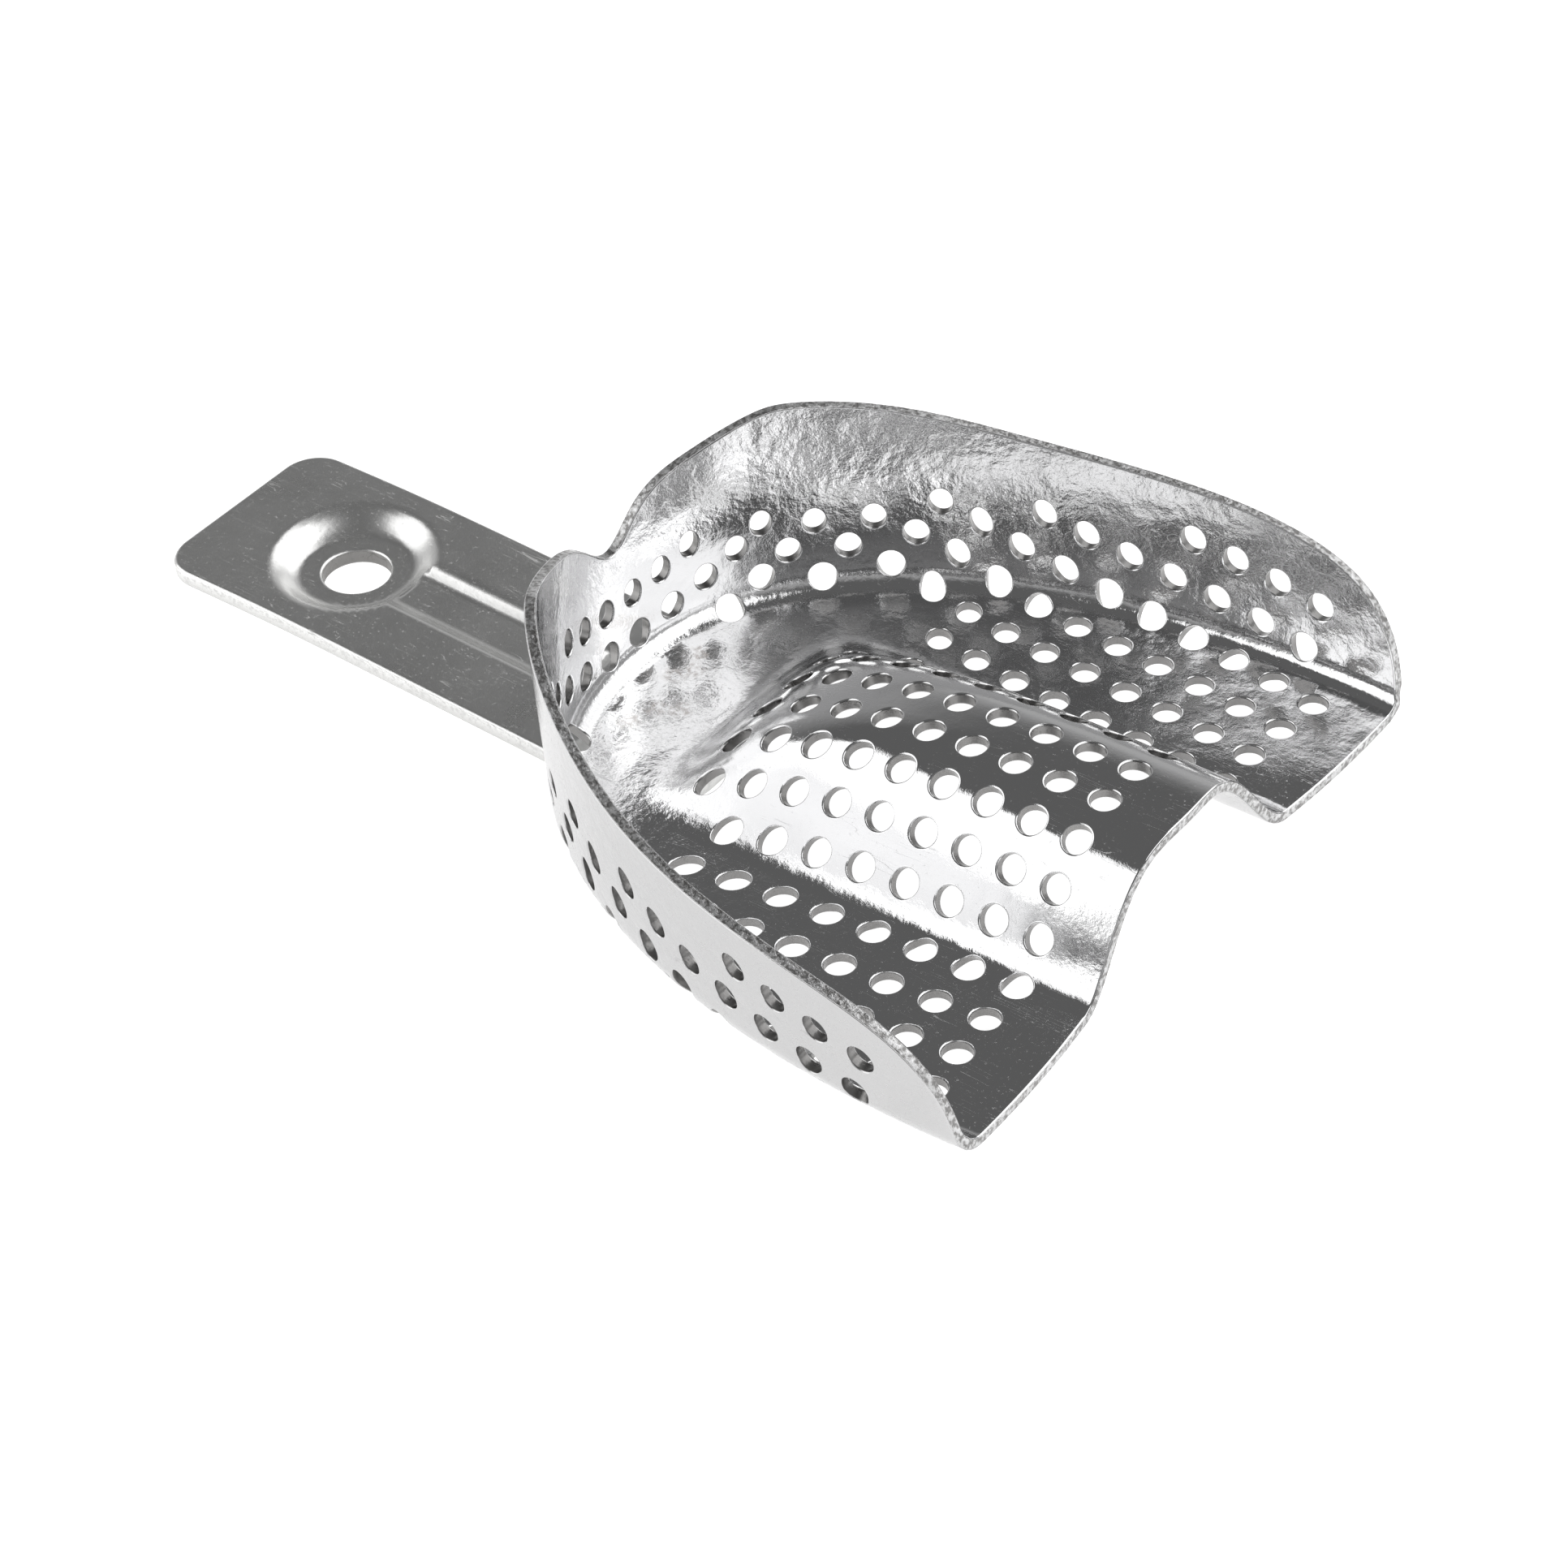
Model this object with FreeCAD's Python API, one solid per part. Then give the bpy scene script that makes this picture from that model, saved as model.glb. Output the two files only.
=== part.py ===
import FreeCAD, Part
import math
import os

# Perforated upper impression tray: one stamped and perforated sheet-metal bowl, with a
# stamped plate handle whose tongue is spot welded under the front of the bowl's floor.
#
# Frame: +X towards the open back of the bowl, -X along the handle, +Z up. The tray lies
# as it does on a table, on the bend of its handle and the back edge of its floor, and the
# origin is the middle of the bottom of its box. All sizes are millimetres and degrees.

# ---- bowl, in its own frame: floor top at z = 0, x = 0 at the widest place ----
SHEET = 1.0             # wall of the bowl
FOOT_LENGTH = 51.2      # widest place to the front wall, at the floor
FOOT_HALF_WIDTH = 31.9  # middle to the side wall, at the floor
TOP_LENGTH = 51.6       # the same two at the top of the wall
TOP_HALF_WIDTH = 34.3
WALL_HEIGHT = 20.5      # where the top sizes are measured, above the highest lobe
FOOT_POWER = 2.15       # 2 is an ellipse, more is squarer
TOP_POWER = 2.0
FLOOR_FILLET = 2.0      # inner radius between floor and wall
BACK_LENGTH = 7.2       # widest place to the back edge
BACK_DIP = 0.7          # how far the back edge is pulled in on the palate
BLOCK_OVERRUN = 6.0     # uncut length behind the back edge

# ---- rim, heights above the floor ----
NOTCH_HEIGHT = 11.6     # bottom of the notch for the lip frenum
NOTCH_HALF_WIDTH = 9.5
LOBE_HEIGHT = 19.4      # top of the two front lobes
LOBE_HALF_WIDTH = 16.5
SIDE_HEIGHT = 13.6      # side wall at the middle of the bowl
SIDE_PLACE = -15.0
CHEEK_HEIGHT = 12.2     # where the rim starts to fall to the back corner
CHEEK_PLACE = -4.5

# ---- palate vault ----
VAULT_HEIGHT = 10.2
VAULT_HALF_WIDTH = 14.6
VAULT_FRONT = -40.0     # where the vault leaves the floor
VAULT_FULL = 7.0        # where it has its whole height
VAULT_START = 0.09      # share of its length over which it leaves the floor
VAULT_POWER = 1.7       # flatness of the crown
VAULT_SINK = 0.15       # overlap of the vault's foot with the floor

# ---- perforations, a square grid on the flat blank ----
HOLE_RADIUS = 1.25
HOLE_PITCH = 4.2
GRID_BACK = 0.45        # last column of holes
SOLID_HALF_WIDTH = 21.0  # unpunched zone over the handle's tongue
SOLID_FRONT = -47.9
SOLID_FRONT_SLOPE = 0.62  # the zone's front edge follows the arch
SOLID_SLOPE_START = 6.6
SOLID_BACK = -35.2
SOLID_WING_START = 12.6  # beside the vault the zone reaches further back
SOLID_WING_BACK = -31.0
PUNCH_MIDDLE = -10.0    # the grid is punched inside an ellipse on the blank
PUNCH_LENGTH = 46.0
PUNCH_HALF_WIDTH = 40.9
CORNER_START = 33.0     # and not in the two back corners
CORNER_FRONT = -2.0
DRAW_ALONG = 0.033      # how much drawing the wall lengthens the grid along the tray
DRAW_ACROSS = 0.8       # how far it carries the rows outwards at the middle of the side
DRAW_MIDDLE = -17.0
DRAW_HALF_LENGTH = 17.0

# ---- handle, tongue flat under the floor, grip rising outwards ----
PLATE = 1.6
HANDLE_HALF_WIDTH = 10.3
HANDLE_END = -96.7
HANDLE_CORNER = 3.6
GRIP_PITCH = 2.86       # grip against the bowl's floor
BEND_OUTER = -49.6      # where the grip ends
BEND_DROP = 1.65        # grip's top below the tongue's top, at the bend
BEND_INNER = -47.0      # where the tongue starts
TONGUE_END = -36.0
SEAM_GAP = 0.2          # tongue's top below the floor's underside
DIMPLE_PLACE = -82.0
DIMPLE_RADIUS = 8.0
DIMPLE_FLOOR_RADIUS = 4.9
DIMPLE_DEPTH = 1.7
HOLE_BORE = 3.1         # radius of the hanging hole
GROOVE_HALF_WIDTH = 3.6
GROOVE_FLOOR_HALF_WIDTH = 2.3
GROOVE_DEPTH = 0.9
GROOVE_END = -54.0
PRESS_OVERLAP = 0.1     # pressed metal runs this far into the plate

# ---- spot welds ----
WELD_RADIUS = 0.75
WELD_PLACES = ((-46.0, 4.6), (-46.0, 1.2), (-45.0, 2.6), (-44.4, -3.3), (-42.6, -2.3), (-45.3, -5.8))

V = FreeCAD.Vector
Y_AXIS = V(0, 1, 0)


def arch_point(length, half_width, angle, squareness=FOOT_POWER):
    """Point of a superellipse, from 0 at the front round to the back."""
    cosine = math.cos(angle)
    sine = math.sin(angle)
    power = 2.0 / squareness
    x = -math.copysign(length * abs(cosine) ** power, cosine)
    y = math.copysign(half_width * abs(sine) ** power, sine)
    return x, y


def arch_wire(length, half_width, z, squareness):
    """Closed outline: the arch, and a straight line across behind the back edge."""
    back = BACK_LENGTH + BLOCK_OVERRUN
    last = math.pi - math.acos((back / length) ** (squareness / 2))
    steps = 16
    points = []
    for step in range(-steps, steps + 1):
        x, y = arch_point(length, half_width, last * step / steps, squareness)
        points.append(V(x, y, z))
    curve = Part.BSplineCurve()
    curve.interpolate(points)
    closing = Part.LineSegment(points[-1], points[0])
    return Part.Wire([curve.toShape(), closing.toShape()])


def arch_block(inset, bottom, fillet):
    """Solid inside the arch's walls, from bottom up, with a rounded foot."""
    low = arch_wire(FOOT_LENGTH - inset, FOOT_HALF_WIDTH - inset, bottom, FOOT_POWER)
    high = arch_wire(TOP_LENGTH - inset, TOP_HALF_WIDTH - inset, WALL_HEIGHT, TOP_POWER)
    block = Part.makeLoft([low, high], True, True)
    foot = [e for e in block.Edges if e.BoundBox.ZMax < bottom + 0.01 and e.BoundBox.XMin < 0]
    return block.makeFillet(fillet, foot)


def vault_height(x, y):
    """Height of the palate vault over the floor."""
    along = min(max((x - VAULT_FRONT) / (VAULT_FULL - VAULT_FRONT), 0.0), 1.0)
    across = min(abs(y) / VAULT_HALF_WIDTH, 1.0)
    rise = (1 - (1 - along) ** 4) * (1 - math.exp(-(along / VAULT_START) ** 2))
    crown = 0.5 * (1 + math.cos(math.pi * across ** VAULT_POWER))
    return VAULT_HEIGHT * rise * crown


def vault_slope(x, y):
    """Length of the gradient of the vault, by differences."""
    step = 0.05
    dx = (vault_height(x + step, y) - vault_height(x - step, y)) / (2 * step)
    dy = (vault_height(x, y + step) - vault_height(x, y - step)) / (2 * step)
    return dx, dy


def vault_face(thickness):
    """Smooth surface of the vault, or of its underside one wall lower."""
    x_first = VAULT_FRONT - 1.0
    x_last = BACK_LENGTH + BLOCK_OVERRUN - 1.0
    y_last = VAULT_HALF_WIDTH + 1.0
    columns = 30
    rows = 24
    grid = []
    for i in range(columns + 1):
        x = x_first + (x_last - x_first) * i / columns
        line = []
        for j in range(rows + 1):
            y = y_last * (2.0 * j / rows - 1)
            dx, dy = vault_slope(x, y)
            wall = thickness * math.sqrt(1 + dx * dx + dy * dy)
            line.append(V(x, y, vault_height(x, y) - VAULT_SINK - wall))
        grid.append(line)
    surface = Part.BSplineSurface()
    surface.interpolate(grid)
    return surface.toShape()


def side_rim_points():
    """Side view of the rim: front lobe, side wall, cheek and back corner."""
    return [
        V(-FOOT_LENGTH - 9.0, 0, LOBE_HEIGHT),
        V(-45.5, 0, LOBE_HEIGHT),
        V(-38.0, 0, LOBE_HEIGHT - 1.4),
        V(-28.0, 0, SIDE_HEIGHT + 1.8),
        V(SIDE_PLACE, 0, SIDE_HEIGHT),
        V(CHEEK_PLACE, 0, CHEEK_HEIGHT),
        V(0.0, 0, CHEEK_HEIGHT - 1.3),
        V(BACK_LENGTH - 3.4, 0, CHEEK_HEIGHT - 3.6),
        V(BACK_LENGTH - 1.0, 0, CHEEK_HEIGHT - 7.2),
        V(BACK_LENGTH + 0.3, 0, -SHEET - 1.0),
    ]


def side_cutter():
    """Everything above the rim's side view, across the whole bowl."""
    points = side_rim_points()
    curve = Part.BSplineCurve()
    curve.interpolate(points)
    top = WALL_HEIGHT + 10
    far = BACK_LENGTH + 20
    outline = [points[-1], V(far, 0, points[-1].z), V(far, 0, top), V(points[0].x, 0, top), points[0]]
    face = Part.Face(Part.Wire([curve.toShape(), Part.makePolygon(outline)]))
    wide = 2 * TOP_HALF_WIDTH + 20
    return face.extrude(V(0, wide, 0)).translated(V(0, -wide / 2, 0))


def front_cutter():
    """Everything above the rim's front view: the notch between the two lobes."""
    side = [
        (0.0, NOTCH_HEIGHT),
        (0.4 * NOTCH_HALF_WIDTH, NOTCH_HEIGHT + 2.9),
        (NOTCH_HALF_WIDTH, NOTCH_HEIGHT + 5.5),
        (LOBE_HALF_WIDTH, LOBE_HEIGHT + 0.2),
        (LOBE_HALF_WIDTH + 6.0, LOBE_HEIGHT + 1.0),
    ]
    points = [V(0, -y, z) for y, z in reversed(side)]
    points += [V(0, y, z) for y, z in side[1:]]
    curve = Part.BSplineCurve()
    curve.interpolate(points)
    top = WALL_HEIGHT + 10
    last = points[-1]
    first = points[0]
    outline = [last, V(0, last.y, top), V(0, first.y, top), first]
    face = Part.Face(Part.Wire([curve.toShape(), Part.makePolygon(outline)]))
    start = -TOP_LENGTH - 5
    return face.extrude(V(20, 0, 0)).translated(V(start, 0, 0))


def back_cutter():
    """Everything behind the back edge, which is pulled in a little on the palate."""
    wide = TOP_HALF_WIDTH + 5
    points = [
        V(BACK_LENGTH, -wide, 0),
        V(BACK_LENGTH, -VAULT_HALF_WIDTH - 3, 0),
        V(BACK_LENGTH - BACK_DIP, -0.6 * VAULT_HALF_WIDTH, 0),
        V(BACK_LENGTH - 0.4 * BACK_DIP, 0, 0),
        V(BACK_LENGTH - BACK_DIP, 0.6 * VAULT_HALF_WIDTH, 0),
        V(BACK_LENGTH, VAULT_HALF_WIDTH + 3, 0),
        V(BACK_LENGTH, wide, 0),
    ]
    curve = Part.BSplineCurve()
    curve.interpolate(points)
    far = BACK_LENGTH + 20
    outline = [points[-1], V(far, wide, 0), V(far, -wide, 0), points[0]]
    face = Part.Face(Part.Wire([curve.toShape(), Part.makePolygon(outline)]))
    return face.extrude(V(0, 0, 60)).translated(V(0, 0, -20))


def crown_place(x, arc):
    """Distance from the middle after this length of sheet across the vault."""
    y = 0.0
    walked = 0.0
    step = 0.1
    while walked < arc:
        slope = vault_slope(x, y + step / 2)[1]
        walked += step * math.sqrt(1 + slope * slope)
        y += step
    return y - (walked - arc)


def nearest_foot(x, y):
    """Nearest point of the wall's inner foot line, and the way outwards there."""
    best = None
    steps = 400
    for step in range(-steps, steps + 1):
        angle = 0.62 * math.pi * step / steps
        px, py = arch_point(FOOT_LENGTH - SHEET, FOOT_HALF_WIDTH - SHEET, angle)
        gap = math.hypot(x - px, y - py)
        if best is None or gap < best[0]:
            best = (gap, px, py)
    gap, px, py = best
    return px, py, gap


def squeeze(px, py, past):
    """How much the blank is gathered along the wall, this far past the foot line.

    The foot line's radius, as for an ellipse, over the radius the blank had there.
    """
    length = FOOT_LENGTH - SHEET
    width = FOOT_HALF_WIDTH - SHEET
    cosine = min(abs(px) / length, 1.0)
    sine = min(abs(py) / width, 1.0)
    radius = ((length * sine) ** 2 + (width * cosine) ** 2) ** 1.5 / (length * width)
    return radius / (radius + past)


def on_floor(x, y):
    """True where the sheet is still flat, inside the fillet at the wall's foot."""
    length = FOOT_LENGTH - SHEET - FLOOR_FILLET
    width = FOOT_HALF_WIDTH - SHEET - FLOOR_FILLET
    return (abs(x) / length) ** FOOT_POWER + (abs(y) / width) ** FOOT_POWER <= 1.0


def wall_lean(px, py, out):
    """Run of the wall outwards for its rise, from the foot to the ellipse of its top."""
    length = TOP_LENGTH - SHEET
    width = TOP_HALF_WIDTH - SHEET
    a = (out.x / length) ** 2 + (out.y / width) ** 2
    b = px * out.x / length ** 2 + py * out.y / width ** 2
    c = (px / length) ** 2 + (py / width) ** 2 - 1
    return (math.sqrt(b * b - a * c) - b) / a / WALL_HEIGHT


def wall_hole(x, y):
    """Place, normal and gathering of a hole that forming carries up the wall."""
    px, py, gap = nearest_foot(x, y)
    length = FOOT_LENGTH - SHEET
    width = FOOT_HALF_WIDTH - SHEET
    outside = (abs(x) / length) ** FOOT_POWER + (abs(y) / width) ** FOOT_POWER > 1
    out = V(math.copysign(abs(px) ** (FOOT_POWER - 1), px) / length ** FOOT_POWER,
            math.copysign(abs(py) ** (FOOT_POWER - 1), py) / width ** FOOT_POWER, 0)
    out.normalize()
    past = FLOOR_FILLET + (gap if outside else -gap)
    turn = min(past / FLOOR_FILLET, math.pi / 2)
    height = FLOOR_FILLET * (1 - math.cos(turn)) + max(past - FLOOR_FILLET * math.pi / 2, 0)
    reach = FLOOR_FILLET * math.sin(turn) - FLOOR_FILLET
    place = V(px, py, height) + out * (reach + wall_lean(px, py, out) * height)
    normal = out * math.sin(turn) + V(0, 0, -math.cos(turn))
    return place, normal, squeeze(px, py, max(past - FLOOR_FILLET, 0))


def is_punched(x, y):
    """True where the blank has a hole: inside the ellipse, outside the back corners and
    outside the solid zone over the handle's tongue and beside it."""
    inside = ((x - PUNCH_MIDDLE) / PUNCH_LENGTH) ** 2 + (y / PUNCH_HALF_WIDTH) ** 2 < 1
    corner = y > CORNER_START and x > CORNER_FRONT
    front = SOLID_FRONT + SOLID_FRONT_SLOPE * max(y - SOLID_SLOPE_START, 0)
    back = SOLID_WING_BACK if y > SOLID_WING_START else SOLID_BACK
    solid = y < SOLID_HALF_WIDTH and front < x < back
    return inside and not corner and not solid


def drawn(x, y):
    """Where drawing the wall moves a hole of the square grid on the blank."""
    side = min(max((y - 13) / 6, 0), 1)
    front = min(max((-x - 36) / 6, 0), 1)
    far = max(y - 23.1, 0)
    along = x * (1 + DRAW_ALONG * max(side, front)) + 0.05 * far + 0.0075 * far ** 2
    bulge = max(1 - ((x - DRAW_MIDDLE) / DRAW_HALF_LENGTH) ** 2, -1)
    return along, y + side * (DRAW_ACROSS + 0.07 * (y - 18.9)) * bulge


def hole_places():
    """Where forming takes the punched grid of the flat blank, with each hole's size.

    On the floor and the vault the sheet keeps its length across the tray. Past the foot
    of the wall it turns up through a quarter round and then climbs the wall.
    """
    places = []
    half_rows = 12
    columns = 16
    for column in range(columns):
        for row in range(half_rows):
            blank_x = GRID_BACK - HOLE_PITCH * column
            blank_y = HOLE_PITCH * (row + 0.5)
            if not is_punched(blank_x, blank_y):
                continue
            x, arc = drawn(blank_x, blank_y)
            y = crown_place(x, arc)
            if on_floor(x, y):
                dx, dy = vault_slope(x, y)
                place = V(x, y, max(vault_height(x, y) - VAULT_SINK, 0))
                normal = V(-dx, -dy, 1)
                radius = HOLE_RADIUS
            else:
                place, normal, gathered = wall_hole(x, y)
                radius = HOLE_RADIUS * gathered
            places.append((place, normal, radius))
            places.append((V(place.x, -place.y, place.z), V(normal.x, -normal.y, normal.z), radius))
    return places


def bowl():
    """Trough, vault and wall of one sheet, trimmed to the rim and punched."""
    outer = arch_block(0.0, -SHEET, FLOOR_FILLET + SHEET)
    inner = arch_block(SHEET, 0.0, FLOOR_FILLET)
    drop = V(0, 0, -25)
    room = Part.makeBox(200, 200, 60, V(-100, -100, -SHEET / 2))
    raised = vault_face(0.0).extrude(drop).common(room)
    below = vault_face(SHEET).extrude(drop)
    sheet = outer.cut(inner).fuse(raised).cut(below)
    sheet = sheet.cut([side_cutter(), front_cutter(), back_cutter()])
    punches = []
    for place, normal, radius in hole_places():
        normal.normalize()
        punches.append(Part.makeCylinder(radius, 4 * SHEET, place - normal * 2 * SHEET, normal))
    return sheet.cut(punches)


def tongue_top():
    """Height of the tongue's top face."""
    return -SHEET - SEAM_GAP


def grip_top(x):
    """Height of the grip's top face at x."""
    rise = (BEND_OUTER - x) * math.tan(math.radians(GRIP_PITCH))
    return tongue_top() - BEND_DROP + rise


def handle_plate():
    """Grip, bend and tongue, one plate seen from the side and carried across."""
    top = [
        V(HANDLE_END, 0, grip_top(HANDLE_END)),
        V(BEND_OUTER, 0, grip_top(BEND_OUTER)),
        V(BEND_INNER, 0, tongue_top()),
        V(TONGUE_END, 0, tongue_top()),
    ]
    bottom = [p - V(0, 0, PLATE) for p in reversed(top)]
    face = Part.Face(Part.makePolygon(top + bottom + [top[0]]))
    plate = face.extrude(V(0, 2 * HANDLE_HALF_WIDTH, 0)).translated(V(0, -HANDLE_HALF_WIDTH, 0))
    corners = [e for e in plate.Edges if abs(e.BoundBox.XLength) < 0.01 and e.Length < 2 * PLATE]
    return plate.makeFillet(HANDLE_CORNER, corners)


def grip_feature(top_radius, floor_radius, top_half, floor_half, down):
    """The keyhole shape of dimple and groove, this far below the grip's top."""
    depth = DIMPLE_DEPTH
    dimple = Part.makeCone(floor_radius, top_radius, depth, V(0, 0, -depth - down))
    z_top = -down
    z_low = -GROOVE_DEPTH - down
    section = [
        V(0, -top_half, z_top),
        V(0, top_half, z_top),
        V(0, floor_half, z_low),
        V(0, -floor_half, z_low),
        V(0, -top_half, z_top),
    ]
    length = GROOVE_END - DIMPLE_PLACE
    groove = Part.Face(Part.makePolygon(section)).extrude(V(length, 0, 0))
    shape = dimple.fuse(groove)
    shape.rotate(V(0, 0, 0), Y_AXIS, GRIP_PITCH)
    shape.translate(V(DIMPLE_PLACE, 0, grip_top(DIMPLE_PLACE)))
    return shape


def handle():
    """Plate with its pressed dimple, hanging hole and stiffening groove."""
    sizes = (DIMPLE_RADIUS, DIMPLE_FLOOR_RADIUS, GROOVE_HALF_WIDTH, GROOVE_FLOOR_HALF_WIDTH)
    raised = grip_feature(*sizes, PLATE - PRESS_OVERLAP)
    sunk = grip_feature(*sizes, 0.0)
    plate = handle_plate().fuse(raised).cut(sunk)
    tilt = math.radians(GRIP_PITCH)
    axis = V(math.sin(tilt), 0, math.cos(tilt))
    middle = V(DIMPLE_PLACE, 0, grip_top(DIMPLE_PLACE))
    bore = Part.makeCylinder(HOLE_BORE, 20, middle - axis * 10, axis)
    return plate.cut(bore)


def spot_welds():
    """Small nuggets that join the tongue to the underside of the floor."""
    feet = [V(x, y, tongue_top()) for x, y in WELD_PLACES]
    return Part.makeCompound([Part.makeCylinder(WELD_RADIUS, SEAM_GAP, foot) for foot in feet])


def rest_pitch():
    """Turn that brings the handle's bend and the floor's back edge to one level."""
    run = BACK_LENGTH - BEND_OUTER
    rise = -SHEET - (grip_top(BEND_OUTER) - PLATE)
    return math.degrees(math.atan2(rise, run))


def stand(shapes):
    """Turn the tray as it lies on a table, and put the origin under its middle."""
    pitch = rest_pitch()
    box = FreeCAD.BoundBox()
    for shape in shapes.values():
        shape.rotate(V(0, 0, 0), Y_AXIS, pitch)
        box.add(shape.optimalBoundingBox())
    for shape in shapes.values():
        shape.translate(V(-box.Center.x, -box.Center.y, -box.ZMin))
    print("pitch", round(pitch, 3), "shift", -box.Center.x, -box.Center.y, -box.ZMin)


def main():
    shapes = {"bowl": bowl(), "handle": handle(), "spot_welds": spot_welds()}
    stand(shapes)
    os.makedirs("parts", exist_ok=True)
    for name, shape in shapes.items():
        shape.exportStep("parts/" + name + ".step")
        print(name, shape.isValid(), len(shape.Solids), round(shape.Volume, 1), shape.BoundBox)


main()
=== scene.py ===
import math

import bpy
import numpy as np
from mathutils import Matrix, Vector
from mathutils.geometry import delaunay_2d_cdt


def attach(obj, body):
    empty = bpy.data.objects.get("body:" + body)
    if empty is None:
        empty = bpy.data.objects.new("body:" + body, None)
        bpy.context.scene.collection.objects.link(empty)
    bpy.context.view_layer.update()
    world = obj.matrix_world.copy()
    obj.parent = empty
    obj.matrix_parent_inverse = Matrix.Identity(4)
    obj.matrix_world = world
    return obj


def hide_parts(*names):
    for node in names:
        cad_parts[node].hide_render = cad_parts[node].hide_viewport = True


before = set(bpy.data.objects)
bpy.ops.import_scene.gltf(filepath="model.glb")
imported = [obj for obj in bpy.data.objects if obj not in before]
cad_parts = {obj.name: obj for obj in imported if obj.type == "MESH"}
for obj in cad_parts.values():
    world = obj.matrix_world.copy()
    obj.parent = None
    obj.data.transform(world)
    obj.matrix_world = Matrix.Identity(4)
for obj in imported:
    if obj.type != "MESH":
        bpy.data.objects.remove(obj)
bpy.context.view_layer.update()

# The tray's own frame, used by every shape below: millimetres, floor top at z = 0, x = 0
# at the widest place, +X towards the open back. REST_PITCH lays it down as the CAD does.
MM = 0.001
REST_PITCH = math.radians(3.476)
STAND_SHIFT = (44.4218, 0.0, 1.7329)

# ---- bowl ----
SHEET = 1.0
FOOT_LENGTH = 51.2
FOOT_HALF_WIDTH = 31.9
TOP_LENGTH = 51.6
TOP_HALF_WIDTH = 34.3
WALL_HEIGHT = 20.5
FOOT_POWER = 2.15
FLOOR_FILLET = 2.0
BACK_LENGTH = 7.08      # a little inside the CAD's box, as is the handle's end
BACK_DIP = 0.7
NOTCH_HEIGHT = 11.6
NOTCH_HALF_WIDTH = 9.5
LOBE_HEIGHT = 19.4
LOBE_HALF_WIDTH = 16.5
SIDE_HEIGHT = 13.6
SIDE_PLACE = -15.0
CHEEK_HEIGHT = 12.2
CHEEK_PLACE = -4.5
VAULT_HEIGHT = 10.2
VAULT_HALF_WIDTH = 14.6
VAULT_FRONT = -40.0
VAULT_FULL = 7.0
VAULT_START = 0.09
VAULT_POWER = 1.7
HOLE_RADIUS = 1.25
HOLE_PITCH = 4.2
GRID_BACK = 0.45
SOLID_HALF_WIDTH = 21.0
SOLID_FRONT = -47.9
SOLID_FRONT_SLOPE = 0.62
SOLID_SLOPE_START = 6.6
SOLID_BACK = -35.2
SOLID_WING_START = 12.6
SOLID_WING_BACK = -31.0
PUNCH_MIDDLE = -10.0
PUNCH_LENGTH = 46.0
PUNCH_HALF_WIDTH = 40.9
CORNER_START = 33.0
CORNER_FRONT = -2.0
DRAW_ALONG = 0.033
DRAW_ACROSS = 0.8
DRAW_MIDDLE = -17.0
DRAW_HALF_LENGTH = 17.0
DRAW_START = 13.0       # beside this the rows move, in full after DRAW_FADE
DRAW_FRONT = -36.0      # and in front of this
DRAW_FADE = 6.0
DRAW_FAR = 23.1         # the outermost rows also slip back

# ---- handle ----
PLATE = 1.6
HANDLE_HALF_WIDTH = 10.3
HANDLE_END = -96.65
HANDLE_CORNER = 3.6
GRIP_PITCH = math.radians(2.86)
BEND_OUTER = -49.6
BEND_DROP = 1.65
BEND_INNER = -47.0
TONGUE_END = -36.0
SEAM_GAP = 0.2
DIMPLE_PLACE = -82.0
DIMPLE_RADIUS = 8.0
DIMPLE_FLOOR_RADIUS = 4.9
DIMPLE_DEPTH = 1.7
HOLE_BORE = 3.1
GROOVE_HALF_WIDTH = 3.6
GROOVE_FLOOR_HALF_WIDTH = 1.8
GROOVE_DEPTH = 0.9
GROOVE_END = -54.0
WELD_RADIUS = 0.75
WELD_PLACES = ((-46.0, 4.6), (-46.0, 1.2), (-45.0, 2.6), (-44.4, -3.3), (-42.6, -2.3), (-45.3, -5.8))


# ================================================================ bowl's form

def arch(length, half_width, angle):
    """Superellipse: x = -length |cos|^(2/p), y = half_width |sin|^(2/p), signs kept."""
    power = 2 / FOOT_POWER
    cosine, sine = np.cos(angle), np.sin(angle)
    x = -np.sign(cosine) * length * np.abs(cosine) ** power
    y = np.sign(sine) * half_width * np.abs(sine) ** power
    return np.stack([x, y], -1)


def arch_normal(length, half_width, point):
    """Outward normal in plan: the gradient of |x/length|^p + |y/half_width|^p."""
    x, y = point[..., 0], point[..., 1]
    power = FOOT_POWER - 1
    grad = np.stack([np.sign(x) * np.abs(x / length) ** power / length,
                     np.sign(y) * np.abs(y / half_width) ** power / half_width], -1)
    return grad / np.linalg.norm(grad, axis=-1, keepdims=True)


FOOT_ANGLES = np.linspace(-0.62 * math.pi, 0.62 * math.pi, 6001)
FOOT_A = FOOT_LENGTH - SHEET
FOOT_B = FOOT_HALF_WIDTH - SHEET
FOOT_LINE = arch(FOOT_A, FOOT_B, FOOT_ANGLES)


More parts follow.
